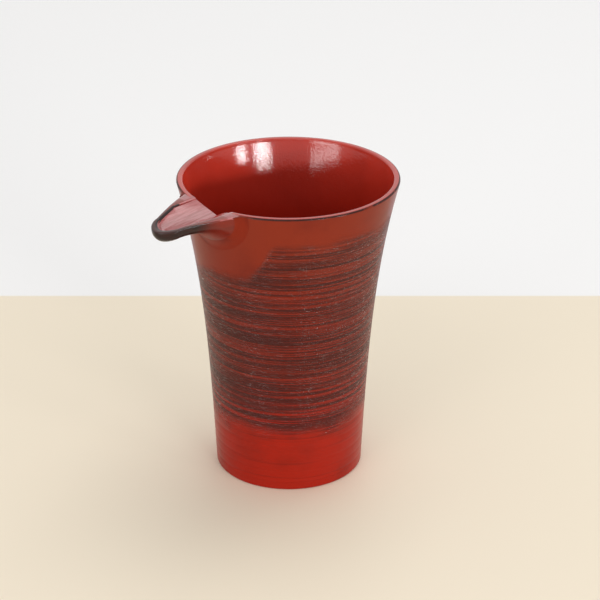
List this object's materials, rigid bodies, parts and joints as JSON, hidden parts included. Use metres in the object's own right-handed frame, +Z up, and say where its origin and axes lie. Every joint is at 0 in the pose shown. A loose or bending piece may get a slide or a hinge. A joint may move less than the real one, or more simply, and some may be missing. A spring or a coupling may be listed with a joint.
{
  "type": "lacquer spouted pouring cup",
  "caption": "Tall flared red lacquer pouring cup with a carved spout let into the rim and a band of dark brushed streaks.",
  "frame": {"origin": "on the cup's axis at the plane of the table, under the centre of the foot's shallow hollow", "axes": "+Z up along the cup's axis to the rim, -X towards the tip of the spout, +Y across the spout"},
  "size_m": [0.1073, 0.083, 0.1172],
  "materials": {
    "red_lacquer_body": "glossy red lacquer over turned wood, dark brushed streaks",
    "dark_lacquer_spout": "glossy lacquer over carved wood, black at the edge and red in the trough",
    "lacquered_putty": "lacquer putty of wood powder, smoothed and lacquered red brown"
  },
  "bodies": {
    "root": {"cup_body": "red_lacquer_body", "spout": "dark_lacquer_spout", "joint_putty": "lacquered_putty"}
  },
  "joints": []
}
